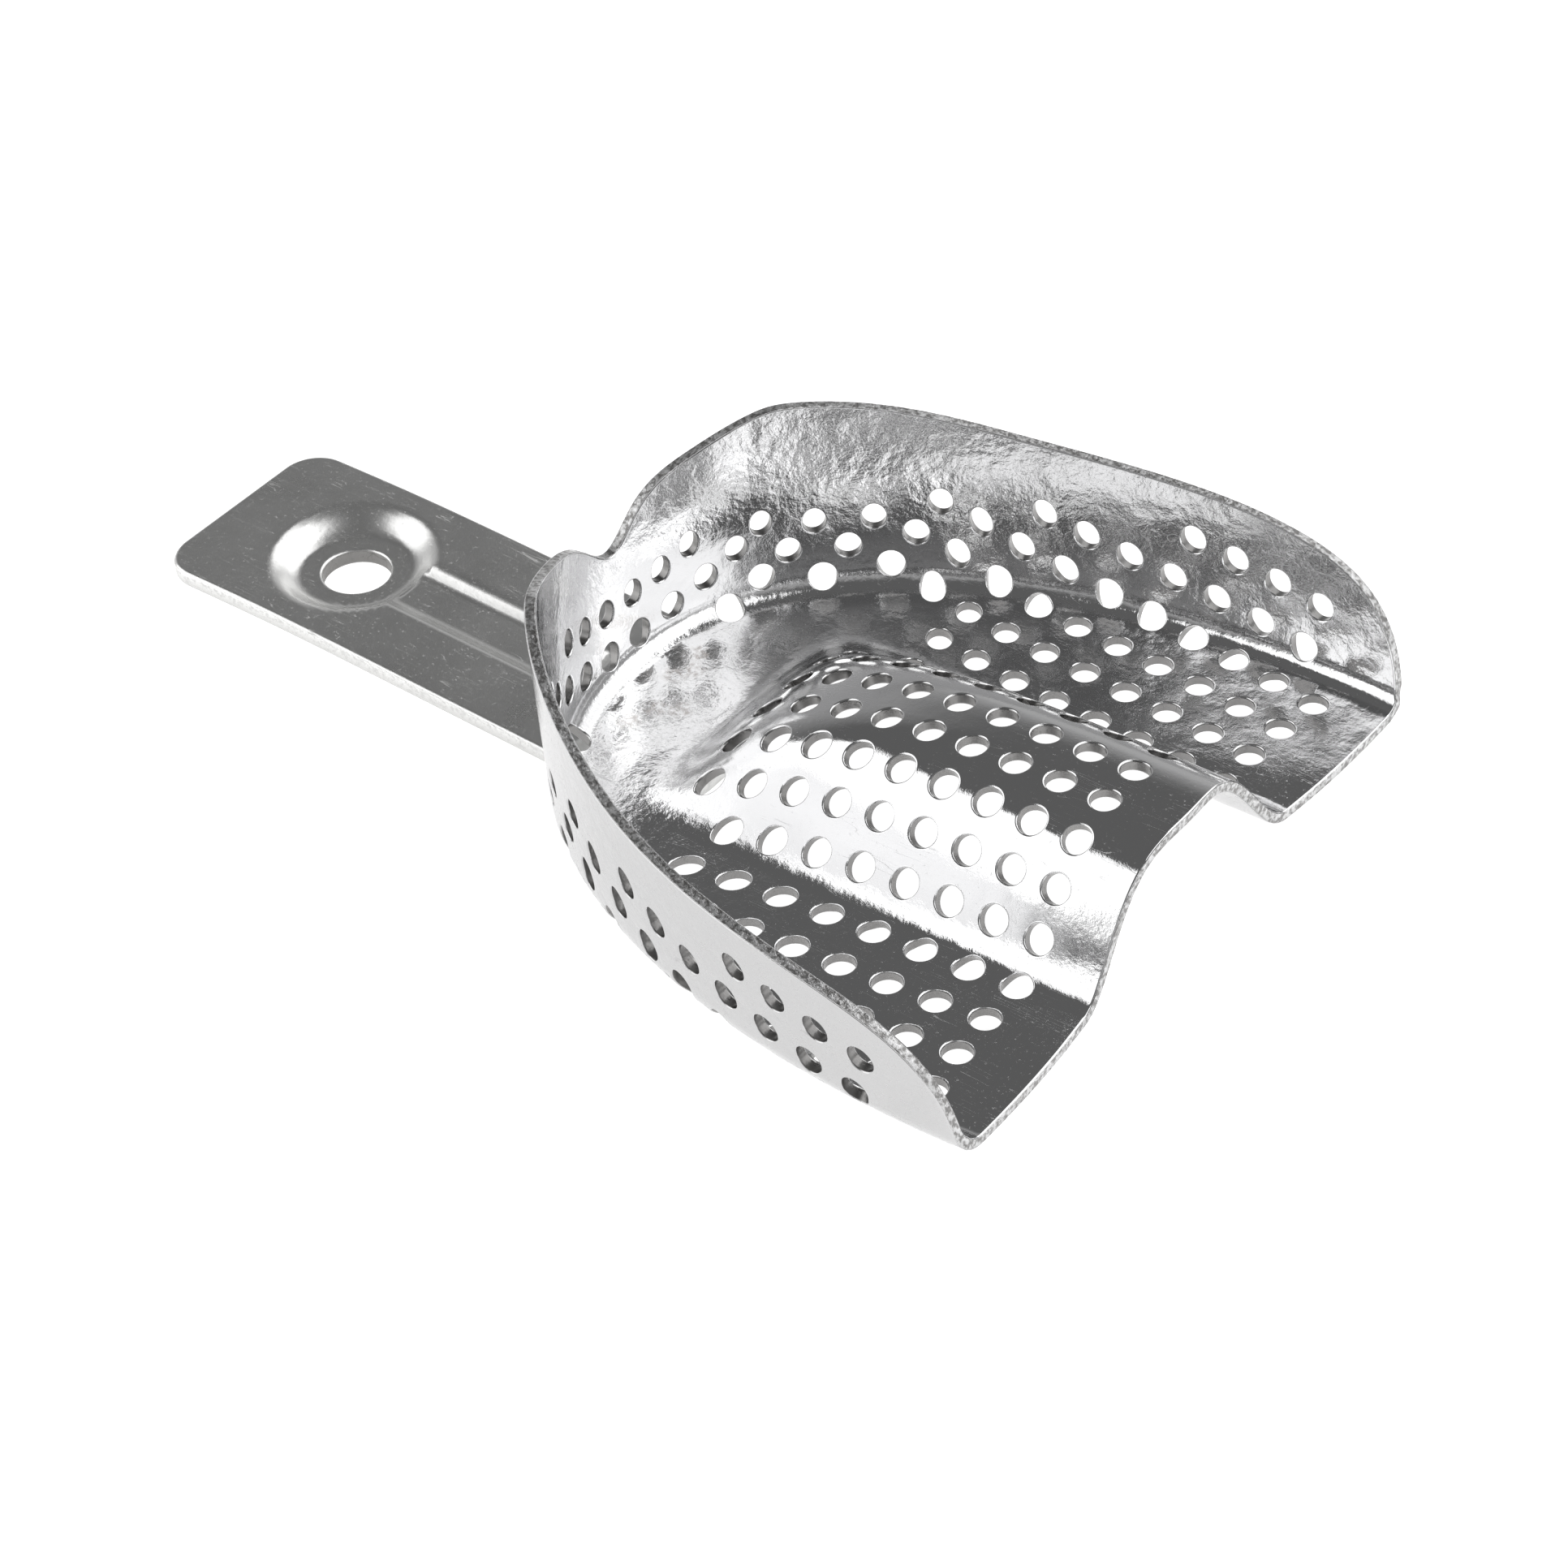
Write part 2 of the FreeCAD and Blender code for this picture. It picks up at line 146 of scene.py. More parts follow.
def nearest_foot(points):
    """Nearest point of the wall's inner foot line, by its closest chord."""
    best = np.empty(len(points), int)
    for start in range(0, len(points), 2000):
        part = points[start:start + 2000]
        gap = (part[:, :1] - FOOT_LINE[:, 0]) ** 2 + (part[:, 1:] - FOOT_LINE[:, 1]) ** 2
        best[start:start + 2000] = gap.argmin(1)
    best = np.clip(best, 1, len(FOOT_LINE) - 2)
    found = FOOT_LINE[best].copy()
    nearest = np.full(len(points), np.inf)
    for step in (-1, 0):
        a, b = FOOT_LINE[best + step], FOOT_LINE[best + step + 1]
        chord = b - a
        share = ((points - a) * chord).sum(1) / (chord ** 2).sum(1)
        q = a + chord * np.clip(share, 0, 1)[:, None]
        gap = ((points - q) ** 2).sum(1)
        closer = gap < nearest
        nearest[closer] = gap[closer]
        found[closer] = q[closer]
    return found


def vault(x, y):
    """Vault height with its two slopes: height times a rise along x times a flat-topped
    bell across y. Rise is (1 - (1 - a)^4)(1 - exp(-(a / start)^2)), a from front to back."""
    span = VAULT_FULL - VAULT_FRONT
    a = np.clip((x - VAULT_FRONT) / span, 0, 1)
    start = 1 - np.exp(-(a / VAULT_START) ** 2)
    climb = 1 - (1 - a) ** 4
    rise = climb * start
    rise_x = (4 * (1 - a) ** 3 * start + climb * (1 - start) * 2 * a / VAULT_START ** 2) / span
    rise_x = np.where((a > 0) & (a < 1), rise_x, 0)
    t = np.clip(np.abs(y) / VAULT_HALF_WIDTH, 0, 1)
    bell = 0.5 * (1 + np.cos(np.pi * t ** VAULT_POWER))
    bell_y = -0.5 * np.sin(np.pi * t ** VAULT_POWER) * np.pi * VAULT_POWER
    bell_y = bell_y * t ** (VAULT_POWER - 1) / VAULT_HALF_WIDTH * np.sign(y)
    return VAULT_HEIGHT * rise * bell, VAULT_HEIGHT * rise_x * bell, VAULT_HEIGHT * rise * bell_y


def crown_table():
    """For a grid of blank places, how far from the middle the formed sheet lies: the
    length of sheet across the vault is summed over y and read backwards."""
    us = np.linspace(-75, 16, 183)
    vs = np.linspace(0, 26, 521)
    ys = np.linspace(0, 26, 1301)
    slope = vault(us[:, None], ys[None, :])[2]
    step = ys[1] - ys[0]
    rate = np.sqrt(1 + slope ** 2)
    lengths = np.cumsum((rate[:, 1:] + rate[:, :-1]) / 2 * step, 1)
    walked = np.concatenate([np.zeros((len(us), 1)), lengths], 1)
    formed = np.stack([np.interp(vs, line, ys) for line in walked])
    return us, vs, formed


CROWN_U, CROWN_V, CROWN_Y = crown_table()


def crown_place(u, v):
    """Formed distance from the middle at blank place (u, v), read from the table."""
    side, v = np.sign(v), np.abs(v)
    i = np.clip((u - CROWN_U[0]) / (CROWN_U[1] - CROWN_U[0]), 0, len(CROWN_U) - 1.001)
    j = np.clip(v / (CROWN_V[1] - CROWN_V[0]), 0, len(CROWN_V) - 1.001)
    i0, j0 = i.astype(int), j.astype(int)
    fi, fj = i - i0, j - j0
    y = (CROWN_Y[i0, j0] * (1 - fi) + CROWN_Y[i0 + 1, j0] * fi) * (1 - fj)
    y = y + (CROWN_Y[i0, j0 + 1] * (1 - fi) + CROWN_Y[i0 + 1, j0 + 1] * fi) * fj
    return side * (y + np.maximum(v - CROWN_V[-1], 0))


def wall_lean(foot, out):
    """Angle by which the wall leans outwards: the way along the foot's normal to the
    ellipse of the wall's top, the positive root of its equation, over the wall's height."""
    size = np.array([TOP_LENGTH - SHEET, TOP_HALF_WIDTH - SHEET])
    f, n = foot / size, out / size
    a, b, c = (n * n).sum(-1), (f * n).sum(-1), (f * f).sum(-1) - 1
    return np.arctan((np.sqrt(b * b - a * c) - b) / a / WALL_HEIGHT)


def wall_profile(past, lean):
    """Reach, height and turn of the sheet this far past the floor: a round of the floor's
    fillet until it leans as the wall does, then straight up the wall."""
    last = math.pi / 2 - lean
    turn = np.clip(past / FLOOR_FILLET, 0, last)
    straight = np.maximum(past - FLOOR_FILLET * last, 0)
    reach = FLOOR_FILLET * np.sin(turn) + straight * np.sin(lean)
    height = FLOOR_FILLET * (1 - np.cos(turn)) + straight * np.cos(lean)
    return reach, height, turn


def fillet_start(lean):
    """Distance from the fillet's first line on the floor to the foot line."""
    return FLOOR_FILLET * np.tan((math.pi / 2 - lean) / 2)


def past_for_height(height, lean):
    """Length of sheet past the floor at which the wall has this height."""
    last = math.pi / 2 - lean
    bend_height = FLOOR_FILLET * (1 - np.cos(last))
    in_bend = FLOOR_FILLET * np.arccos(np.clip(1 - height / FLOOR_FILLET, -1, 1))
    on_wall = FLOOR_FILLET * last + (height - bend_height) / np.cos(lean)
    return np.where(height < bend_height, in_bend, on_wall)


def bowl_skin(blank, depth):
    """Formed place and normal of blank points, this far below the sheet's upper face.

    Inside the foot line the sheet lies on the floor and the vault, with its length across
    kept. Outside, it turns up through the fillet and climbs the wall along the foot
    line's normal, which gathers it round the corners as pressing does."""
    u, v = blank[:, 0], blank[:, 1]
    y = crown_place(u, v)
    flat = np.stack([u, y], -1)
    foot = nearest_foot(flat)
    out = arch_normal(FOOT_A, FOOT_B, foot)
    lean = wall_lean(foot, out)
    past = ((flat - foot) * out).sum(1) + fillet_start(lean)
    rise, slope_x, slope_y = vault(u, y)
    floor_place = np.stack([u, y, rise], -1)
    floor_normal = np.stack([-slope_x, -slope_y, np.ones_like(u)], -1)
    floor_normal /= np.linalg.norm(floor_normal, axis=1, keepdims=True)
    reach, height, turn = wall_profile(past, lean)
    plan = foot + out * (reach - fillet_start(lean))[:, None]
    wall_place = np.concatenate([plan, height[:, None]], 1)
    wall_normal = np.concatenate([-out * np.sin(turn)[:, None], np.cos(turn)[:, None]], 1)
    on_wall = (past > 0)[:, None]
    place = np.where(on_wall, wall_place, floor_place)
    normal = np.where(on_wall, wall_normal, floor_normal)
    return place - normal * np.reshape(depth, (-1, 1)), normal


def smooth_line(points, count):
    """Natural cubic spline through the points, over the length of its chords."""
    points = np.array(points, float)
    knots = np.concatenate([[0], np.cumsum(np.linalg.norm(np.diff(points, axis=0), axis=1))])
    h = np.diff(knots)
    n = len(points)
    system = np.eye(n)
    right = np.zeros_like(points)
    rows = np.arange(1, n - 1)
    system[rows, rows - 1] = h[:-1]
    system[rows, rows] = 2 * (h[:-1] + h[1:])
    system[rows, rows + 1] = h[1:]
    slopes = np.diff(points, axis=0) / h[:, None]
    right[1:-1] = 6 * np.diff(slopes, axis=0)
    bend = np.linalg.solve(system, right)
    t = np.linspace(0, knots[-1], count)
    i = np.clip(np.searchsorted(knots, t) - 1, 0, n - 2)
    a, b = (t - knots[i])[:, None], (knots[i + 1] - t)[:, None]
    hi = h[i][:, None]
    line = (bend[i] * b ** 3 + bend[i + 1] * a ** 3) / (6 * hi)
    line += (points[i] / hi - bend[i] * hi / 6) * b + (points[i + 1] / hi - bend[i + 1] * hi / 6) * a
    return line


SIDE_RIM = smooth_line([
    (-FOOT_LENGTH - 9.0, LOBE_HEIGHT), (-45.5, LOBE_HEIGHT), (-38.0, LOBE_HEIGHT - 1.4),
    (-28.0, SIDE_HEIGHT + 1.8), (SIDE_PLACE, SIDE_HEIGHT), (CHEEK_PLACE, CHEEK_HEIGHT),
    (0.0, CHEEK_HEIGHT - 1.3), (BACK_LENGTH - 3.4, CHEEK_HEIGHT - 3.6),
    (BACK_LENGTH - 1.0, CHEEK_HEIGHT - 7.2), (BACK_LENGTH + 0.3, -SHEET - 1.0)], 2000)
FRONT_SIDE = [
    (0.0, NOTCH_HEIGHT), (0.4 * NOTCH_HALF_WIDTH, NOTCH_HEIGHT + 2.9),
    (NOTCH_HALF_WIDTH, NOTCH_HEIGHT + 5.5), (LOBE_HALF_WIDTH, LOBE_HEIGHT + 0.2),
    (LOBE_HALF_WIDTH + 6.0, LOBE_HEIGHT + 1.0)]
FRONT_RIM = smooth_line([(-y, z) for y, z in FRONT_SIDE[:0:-1]] + FRONT_SIDE, 2000)


def rim_height(plan):
    """Height of the rim over the floor: the lower of its side view and its front view,
    with the corner between the two views rounded."""
    side = np.interp(plan[:, 0], SIDE_RIM[:, 0], SIDE_RIM[:, 1])
    front = np.interp(plan[:, 1], FRONT_RIM[:, 0], FRONT_RIM[:, 1])
    front = front + np.maximum(plan[:, 0] + 30, 0) * 4
    soft = 0.2
    return -soft * np.log(np.exp(-side / soft) + np.exp(-front / soft))


def resample(line, spacing):
    """Points at equal steps along a line, its ends kept."""
    length = np.concatenate([[0], np.cumsum(np.linalg.norm(np.diff(line, axis=0), axis=1))])
    count = max(int(round(length[-1] / spacing)), 1) + 1
    steps = np.linspace(0, length[-1], count)
    return np.stack([np.interp(steps, length, line[:, k]) for k in range(line.shape[1])], -1)


BACK_LINE = smooth_line([
    (-TOP_HALF_WIDTH - 5, BACK_LENGTH), (-VAULT_HALF_WIDTH - 3, BACK_LENGTH),
    (-0.6 * VAULT_HALF_WIDTH, BACK_LENGTH - BACK_DIP), (0, BACK_LENGTH - 0.4 * BACK_DIP),
    (0.6 * VAULT_HALF_WIDTH, BACK_LENGTH - BACK_DIP), (VAULT_HALF_WIDTH + 3, BACK_LENGTH),
    (TOP_HALF_WIDTH + 5, BACK_LENGTH)], 800)


def bowl_outline(spacing):
    """The rim and the back edge as one closed line on the blank, anticlockwise."""
    out = arch_normal(FOOT_A, FOOT_B, FOOT_LINE)
    lean = wall_lean(FOOT_LINE, out)
    place = FOOT_LINE.copy()
    for _ in range(4):
        height = rim_height(place)
        past = past_for_height(np.maximum(height, 0.02), lean)
        reach = wall_profile(past, lean)[0]
        place = FOOT_LINE + out * (reach - fillet_start(lean))[:, None]
    kept = (height > 0.3) & (place[:, 0] < BACK_LENGTH)
    flat = FOOT_LINE + out * (past - fillet_start(lean))[:, None]
    flat = flat[kept]
    side = np.sign(flat[:, 1])
    shift = np.abs(flat[:, 1]) - np.abs(crown_place(flat[:, 0], flat[:, 1]))
    rim = np.stack([flat[:, 0], flat[:, 1] + side * shift], -1)
    rim = resample(rim, spacing)
    v = np.linspace(rim[-1, 1], rim[0, 1], 400)
    across = crown_place(np.full_like(v, BACK_LENGTH), v)
    edge = np.stack([np.interp(across, BACK_LINE[:, 0], BACK_LINE[:, 1]), v], -1)
    edge = resample(edge, spacing)
    return np.concatenate([rim, edge[1:-1]])[::-1]


def hole_centres():
    """Centres of the perforations on the blank: a square grid inside an ellipse, without
    the back corners and the solid zone over the tongue, moved a little by the drawing of
    the wall, which lengthens the grid along the tray and bows its outer rows outwards."""
    u = GRID_BACK - HOLE_PITCH * np.arange(17)
    v = HOLE_PITCH * (np.arange(-12, 12) + 0.5)
    u, v = (grid.ravel() for grid in np.meshgrid(u, v, indexing="ij"))
    wide = np.abs(v)
    inside = ((u - PUNCH_MIDDLE) / PUNCH_LENGTH) ** 2 + (v / PUNCH_HALF_WIDTH) ** 2 < 1
    corner = (wide > CORNER_START) & (u > CORNER_FRONT)
    front = SOLID_FRONT + SOLID_FRONT_SLOPE * np.maximum(wide - SOLID_SLOPE_START, 0)
    back = np.where(wide > SOLID_WING_START, SOLID_WING_BACK, SOLID_BACK)
    solid = (wide < SOLID_HALF_WIDTH) & (u > front) & (u < back)
    side = np.clip((wide - DRAW_START) / DRAW_FADE, 0, 1)
    far = np.maximum(wide - DRAW_FAR, 0)
    stretch = DRAW_ALONG * np.maximum(side, np.clip((DRAW_FRONT - u) / DRAW_FADE, 0, 1))
    bulge = np.maximum(1 - ((u - DRAW_MIDDLE) / DRAW_HALF_LENGTH) ** 2, -1)
    wider = wide + side * (DRAW_ACROSS + 0.07 * (wide - 18.9)) * bulge
    centres = np.stack([u * (1 + stretch) + 0.05 * far + 0.0075 * far ** 2, np.sign(v) * wider], -1)
    return centres[inside & ~corner & ~solid]


def fillet_points():
    """Blank points in rows along the fillet, so that its bend is evenly divided."""
    line = resample(FOOT_LINE, 0.8)
    out = arch_normal(FOOT_A, FOOT_B, line)
    lean = wall_lean(line, out)
    rows = []
    for share in np.linspace(-0.1, 1.1, 9):
        past = FLOOR_FILLET * (math.pi / 2 - lean) * share - fillet_start(lean)
        flat = line + out * past[:, None]
        shift = np.abs(flat[:, 1]) - np.abs(crown_place(flat[:, 0], flat[:, 1]))
        rows.append(np.stack([flat[:, 0], flat[:, 1] + np.sign(flat[:, 1]) * shift], -1))
    return np.concatenate(rows)


# ================================================================ handle's form

def soft_max(a, b, soft):
    """The greater of the two, with the corner rounded over this much."""
    return soft * np.logaddexp(a / soft, b / soft)


def ease(t):
    """0 to 1 with level ends: 3 t^2 - 2 t^3."""
    t = np.clip(t, 0, 1)
    return t * t * (3 - 2 * t)


def handle_top(u, v):
    """Height of the handle's top: the rising grip, a short ramp and the flat tongue, less
    the dimple and the groove pressed into the grip."""
    grip = -SHEET - SEAM_GAP - BEND_DROP + (BEND_OUTER - u) * math.tan(GRIP_PITCH)
    ramp = -SHEET - SEAM_GAP - BEND_DROP * (BEND_INNER - u) / (BEND_INNER - BEND_OUTER)
    line = -soft_max(-soft_max(grip, ramp, 0.15), np.full_like(u, SHEET + SEAM_GAP), 0.15)
    away = np.hypot((u - DIMPLE_PLACE) / math.cos(GRIP_PITCH), v)
    dimple = DIMPLE_DEPTH * ease((DIMPLE_RADIUS - away) / (DIMPLE_RADIUS - DIMPLE_FLOOR_RADIUS))
    side = ease((GROOVE_HALF_WIDTH - np.abs(v)) / (GROOVE_HALF_WIDTH - GROOVE_FLOOR_HALF_WIDTH))
    run = ease((u - DIMPLE_PLACE) / 2) * ease((GROOVE_END - u) / 1.5)
    groove = GROOVE_DEPTH * side * run
    return line - soft_max(dimple, groove, 0.05) + 0.05 * math.log(2)


def handle_skin(blank, depth):
    """Place and normal of the plate, this far straight below its top."""
    u, v = blank[:, 0], blank[:, 1]
    step = 0.03
    slope_u = (handle_top(u + step, v) - handle_top(u - step, v)) / (2 * step)
    slope_v = (handle_top(u, v + step) - handle_top(u, v - step)) / (2 * step)
    normal = np.stack([-slope_u, -slope_v, np.ones_like(u)], -1)
    normal /= np.linalg.norm(normal, axis=1, keepdims=True)
    return np.stack([u, v, handle_top(u, v) - depth], -1), normal


def handle_outline(spacing):
    """The plate's rounded rectangle, anticlockwise."""
    r, a, b, w = HANDLE_CORNER, HANDLE_END, TONGUE_END, HANDLE_HALF_WIDTH
    turns = np.linspace(0, math.pi / 2, 24)
    middles = ((b - r, w - r), (a + r, w - r), (a + r, -w + r), (b - r, -w + r))
    corners = []
    for quarter, middle in enumerate(middles):
        angle = turns + quarter * math.pi / 2
        corners.append(np.array(middle) + r * np.stack([np.cos(angle), np.sin(angle)], -1))
    line = np.concatenate(corners)
    return resample(np.concatenate([line, line[:1]]), spacing)[:-1]


# ================================================================ meshes

LEAST_AREA = 1e-4       # of a triangle on the blank, in square millimetres
WORKED_BACK = 12.0      # drawing shows on the sheet from here to the front
WORKED_RUN = 40.0
WORKED_LEAST = 0.3

def circle(centre, radius, count):
    """Clockwise circle on the blank."""
    angle = -2 * math.pi * np.arange(count) / count
    return np.array(centre) + radius * np.stack([np.cos(angle), np.sin(angle)], -1)


def inset(loop, distance):
    """Anticlockwise outline moved inwards."""
    along = np.roll(loop, -1, 0) - np.roll(loop, 1, 0)
    along /= np.linalg.norm(along, axis=1, keepdims=True)
    return loop + distance * np.stack([-along[:, 1], along[:, 0]], -1)


def inside(points, loop):
    """True for points within the outline: an odd number of its sides pass to the right."""
    result = np.zeros(len(points), bool)
    for a, b in zip(loop, np.roll(loop, -1, 0)):
        crosses = (a[1] > points[:, 1]) != (b[1] > points[:, 1])
        at = a[0] + (points[:, 1] - a[1]) * (b[0] - a[0]) / (b[1] - a[1] + 1e-12)
        result ^= crosses & (points[:, 0] < at)
    return result


def grid_over(loop, spacing):
    """Square grid over an outline's box."""
    low, high = loop.min(0), loop.max(0)
    u = np.arange(low[0], high[0], spacing)
    v = np.arange(low[1], high[1], spacing)
    return np.stack(np.meshgrid(u, v, indexing="ij"), -1).reshape(-1, 2)


def divide(outline, holes, radii, extra, clearance, hole_count):
    """Triangles over the outline without the holes, from its loops and inner points. Those
    of no area, which lie along a straight side of the outline, are left out."""
    loops = [outline] + [circle(c, r, hole_count) for c, r in zip(holes, radii)]
    free = extra[inside(extra, outline)]
    gap = np.sqrt(((free[:, None] - outline[None]) ** 2).sum(2)).min(1)
    free = free[gap > clearance]
    for centre, radius in zip(holes, radii):
        free = free[np.hypot(*(free - centre).T) > radius + clearance]
    points = np.concatenate(loops + [free])
    edges = []
    start = 0
    for loop in loops:
        ids = np.arange(start, start + len(loop))
        edges += list(zip(ids.tolist(), np.roll(ids, -1).tolist()))
        start += len(loop)
    made = delaunay_2d_cdt([Vector(p) for p in points.tolist()], edges, [], 0, 1e-7)
    flat = np.array([tuple(p) for p in made[0]])
    faces = np.array(made[2])
    where = np.empty(len(points), int)
    for index, old in enumerate(made[3]):
        where[list(old)] = index
    middle = flat[faces].mean(1)
    kept = inside(middle, outline)
    for centre, radius in zip(holes, radii):
        kept &= np.hypot(*(middle - centre).T) > radius * math.cos(math.pi / hole_count)
    faces = faces[kept]
    a, b, c = (flat[faces[:, k]] for k in range(3))
    area = np.cross(b - a, c - a)
    faces[area < 0] = faces[area < 0][:, ::-1]
    faces = faces[np.abs(area) > LEAST_AREA]
    loop_ids = []
    start = 0
    for loop in loops:
        loop_ids.append(where[start:start + len(loop)])
        start += len(loop)
    return flat, faces, loop_ids


def ring_rows(round_size, thickness):
    """Rows down an edge: way out, depth, and share of the outward direction in the normal."""
    turns = np.linspace(0, math.pi / 2, 5)[1:]
    rows = [(round_size * math.sin(t), round_size * (1 - math.cos(t)), t) for t in turns]
    low = [(reach, thickness - depth, math.pi - t) for reach, depth, t in reversed(rows)]
    return rows + low


def sheet_piece(name, skin, thickness, outline, holes, hole_radii, extra, rounds, hole_count=36):
    """A closed sheet: upper and lower skin from one division of the blank, and for the
    outline and every hole a rounded edge between them. Edges take their outward way from
    the loop's direction crossed with the skin's normal. The masks are the cut edge (above
    0 on the rim, below 0 in a hole), the lower skin, what stands upright and how much
    drawing has worked the sheet, which spares the palate."""
    rim_round, hole_round = rounds
    inner = inset(outline, rim_round)
    radii = np.asarray(hole_radii) + hole_round
    flat, faces, loops = divide(inner, holes, radii, extra, 0.3, hole_count)
    top, normal = skin(flat, 0.0)
    bottom, _ = skin(flat, thickness)
    count = len(flat)
    places, normals, triangles = [top, bottom], [normal, -normal], [faces, faces[:, ::-1] + count]
    edge = [np.zeros(2 * count)]
    under = [np.zeros(count), np.ones(count)]
    total = 2 * count
    for number, ids in enumerate(loops):
        rounded = rim_round if number == 0 else hole_round
        along = np.roll(top[ids], -1, 0) - np.roll(top[ids], 1, 0)
        out = np.cross(along, normal[ids])
        out /= np.linalg.norm(out, axis=1, keepdims=True)
        down = (bottom[ids] - top[ids]) / thickness
        rows = ring_rows(rounded, thickness)
        chain = [ids]
        for reach, depth, turn in rows:
            places.append(top[ids] + out * reach + down * depth)
            normals.append(normal[ids] * math.cos(turn) + out * math.sin(turn))
            edge.append(np.full(len(ids), (1.0 if number == 0 else -1.0) * math.sin(turn)))
            under.append(np.full(len(ids), depth / thickness))
            chain.append(np.arange(total, total + len(ids)))
            total += len(ids)
        chain.append(ids + count)
        for upper, lower in zip(chain, chain[1:]):
            a, b = upper, np.roll(upper, -1)
            c, d = np.roll(lower, -1), lower
            triangles += [np.stack([a, d, c], -1), np.stack([a, c, b], -1)]
    places, normals = np.concatenate(places), np.concatenate(normals)
    across, height = np.abs(places[:, 1]), places[:, 2]
    palate = np.clip(height / 3, 0, 1) * np.clip((VAULT_HALF_WIDTH - across) / 3, 0, 1)
    worked = (WORKED_BACK - places[:, 0]) / WORKED_RUN
    masks = {"edge": np.concatenate(edge), "under": np.concatenate(under),
             "upright": 1 - ease(np.abs(normals[:, 2]) * 1.4),
             "drawn": np.clip(worked, WORKED_LEAST, 1) * (1 - palate)}
    return solid(name, places, normals, np.concatenate(triangles), masks)


def stand(places, shift=True):
    """Turns the tray's own frame to how it lies, and puts its box's middle at the origin."""
    c, s = math.cos(REST_PITCH), math.sin(REST_PITCH)
    x, y, z = places.T
    turned = np.stack([x * c + z * s, y, -x * s + z * c], -1)
    return (turned + STAND_SHIFT) * MM if shift else turned


def solid(name, places, normals, triangles, masks):
    """Blender mesh with its own smooth normals and its masks as attributes."""
    mesh = bpy.data.meshes.new(name)
    mesh.vertices.add(len(places))
    mesh.vertices.foreach_set("co", stand(places).ravel())
    mesh.loops.add(triangles.size)
    mesh.loops.foreach_set("vertex_index", triangles.ravel())
    mesh.polygons.add(len(triangles))
    mesh.polygons.foreach_set("loop_start", np.arange(0, triangles.size, 3))
    mesh.polygons.foreach_set("use_smooth", np.ones(len(triangles), bool))
    mesh.update(calc_edges=True)
    for mask, values in masks.items():
        mesh.attributes.new(mask, "FLOAT", "POINT").data.foreach_set("value", values)
    normals = stand(normals, shift=False)
    normals /= np.linalg.norm(normals, axis=1, keepdims=True)
    mesh.normals_split_custom_set_from_vertices(normals.tolist())
    piece = bpy.data.objects.new(name, mesh)
    bpy.context.collection.objects.link(piece)
    return piece


def bowl():
    outline = bowl_outline(0.6)
    extra = np.concatenate([grid_over(outline, 0.84), fillet_points()])
    holes = hole_centres()
    return sheet_piece("bowl_sheet", bowl_skin, SHEET, outline, holes,
                       np.full(len(holes), HOLE_RADIUS), extra, (0.16, 0.16))


def handle():
    outline = handle_outline(0.5)
    return sheet_piece("handle_plate", handle_skin, PLATE, outline, [(DIMPLE_PLACE, 0.0)],
                       [HOLE_BORE], grid_over(outline, 0.55), (0.4, 0.3), 96)


def weld(number, centre):
    """One nugget between the tongue and the floor, a low round disc."""
    def skin(blank, depth):
        level = np.full(len(blank), -SHEET)
        normal = np.tile([0.0, 0.0, 1.0], (len(blank), 1))
        return np.column_stack([blank, level - depth]), normal
    outline = circle(centre, WELD_RADIUS, 40)[::-1]
    return sheet_piece(f"weld_{number}", skin, SEAM_GAP, outline, [], [],
                       grid_over(outline, 0.3), (0.04, 0.04))


# ================================================================ materials

def node(tree, kind, **settings):
    made = tree.nodes.new(kind)
    for key, value in settings.items():
        if key in made.inputs.keys():
            made.inputs[key].default_value = value
        else:
            setattr(made, key, value)
    return made


def scaled_place(tree, scale):
    """Object coordinates in millimetres times a scale per axis."""
    place = node(tree, "ShaderNodeTexCoord")
    mapping = node(tree, "ShaderNodeMapping")
    mapping.inputs["Scale"].default_value = [1000 * part for part in scale]
    tree.links.new(place.outputs["Object"], mapping.inputs["Vector"])
    return mapping.outputs["Vector"]


def remap(tree, value, low, high, to_low=0.0, to_high=1.0):
    """Linear step of a value, held at its ends."""
    made = node(tree, "ShaderNodeMapRange")
    made.inputs["From Min"].default_value = low
    made.inputs["From Max"].default_value = high
    made.inputs["To Min"].default_value = to_low
    made.inputs["To Max"].default_value = to_high
    tree.links.new(value, made.inputs["Value"])
    return made.outputs["Result"]


def combine(tree, kind, a, b):
    made = node(tree, "ShaderNodeMath", operation=kind)
    for slot_number, value in enumerate((a, b)):
        if isinstance(value, (int, float)):
            made.inputs[slot_number].default_value = value
        else:
            tree.links.new(value, made.inputs[slot_number])
    return made.outputs["Value"]


def noise(tree, scale, size, detail=2.0, roughness=0.5):
    made = node(tree, "ShaderNodeTexNoise")
    made.inputs["Scale"].default_value = size
    made.inputs["Detail"].default_value = detail
    made.inputs["Roughness"].default_value = roughness
    tree.links.new(scaled_place(tree, scale), made.inputs["Vector"])
    return made.outputs["Fac"]


